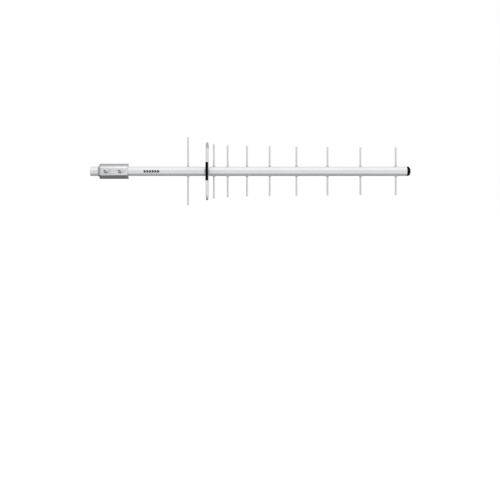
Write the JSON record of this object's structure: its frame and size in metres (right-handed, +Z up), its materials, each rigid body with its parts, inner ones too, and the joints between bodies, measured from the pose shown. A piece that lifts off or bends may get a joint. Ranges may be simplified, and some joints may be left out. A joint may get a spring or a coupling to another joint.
{
  "type": "yagi antenna",
  "caption": "Yagi antenna with rod elements on a round boom, a folded dipole with a feed block, a capped nose and a U-bolt clamp for a vertical mast.",
  "frame": {"origin": "the mast's axis at the height of the boom's axis", "axes": "+X along the boom towards the capped nose, +Z up along the mast, the boom in front of the mast at -Y"},
  "size_m": [0.8593, 0.086, 0.183],
  "materials": {
    "boom_paint": "satin pale grey powder coat",
    "rod_aluminium": "satin drawn rod",
    "dipole_aluminium": "satin bent rod",
    "grey_nylon": "moulded nylon",
    "black_plastic": "fine moulded texture",
    "pale_plastic": "moulded, slightly glossy",
    "stainless_steel": "machined screws",
    "brass": "tinned brass tags",
    "coax_jacket": "smooth cable jacket",
    "nickel_plate": "satin nickel plate",
    "white_dielectric": "machined fluoropolymer",
    "gold_plate": "gold plate",
    "zinc_steel": "pressed sheet, bright zinc plate",
    "zinc_fastener": "bright zinc plate"
  },
  "bodies": {
    "antenna": {"boom_tube": "boom_paint", "nose_cap": "black_plastic", "element_bushes": "grey_nylon", "reflector": "rod_aluminium", "director_1": "rod_aluminium", "director_2": "rod_aluminium", "director_3": "rod_aluminium", "director_4": "rod_aluminium", "director_5": "rod_aluminium", "director_6": "rod_aluminium", "director_7": "rod_aluminium", "director_8": "rod_aluminium", "dipole_loop": "dipole_aluminium", "feed_block_front": "black_plastic", "feed_block_rear": "black_plastic", "feed_block_screws": "stainless_steel", "feed_terminals": "brass", "feed_pigtail": "coax_jacket", "feed_saddle": "pale_plastic", "feed_saddle_screws": "stainless_steel", "loop_clip": "pale_plastic", "loop_clip_screw": "stainless_steel", "connector_seat": "black_plastic", "connector_shell": "nickel_plate", "connector_insulator": "white_dielectric", "connector_contact": "gold_plate", "connector_screws": "stainless_steel", "clamp_saddle": "zinc_steel", "mast_bracket": "zinc_steel", "flat_washers": "zinc_fastener", "spring_washers": "zinc_fastener"},
    "u_bolt": {"u_bolt": "zinc_fastener"},
    "nut_left": {"nut_left": "zinc_fastener"},
    "nut_right": {"nut_right": "zinc_fastener"}
  },
  "joints": [
    {"name": "u_bolt_slide", "type": "slide", "parent": "antenna", "child": "u_bolt", "axis": [0, 1, 0], "range_m": [0, 0.01]},
    {"name": "nut_left_turn", "type": "hinge", "parent": "antenna", "child": "nut_left", "pos_m": [-0.019, -0.05353, 0], "axis": [0, -1, 0], "range_deg": [0, 3600]},
    {"name": "nut_right_turn", "type": "hinge", "parent": "antenna", "child": "nut_right", "pos_m": [0.019, -0.05353, 0], "axis": [0, -1, 0], "range_deg": [0, 3600]}
  ],
  "couplings": [
    {"joint": "nut_left_turn", "follows": "u_bolt_slide", "rad_per_m": 6283.2},
    {"joint": "nut_right_turn", "follows": "u_bolt_slide", "rad_per_m": 6283.2}
  ]
}
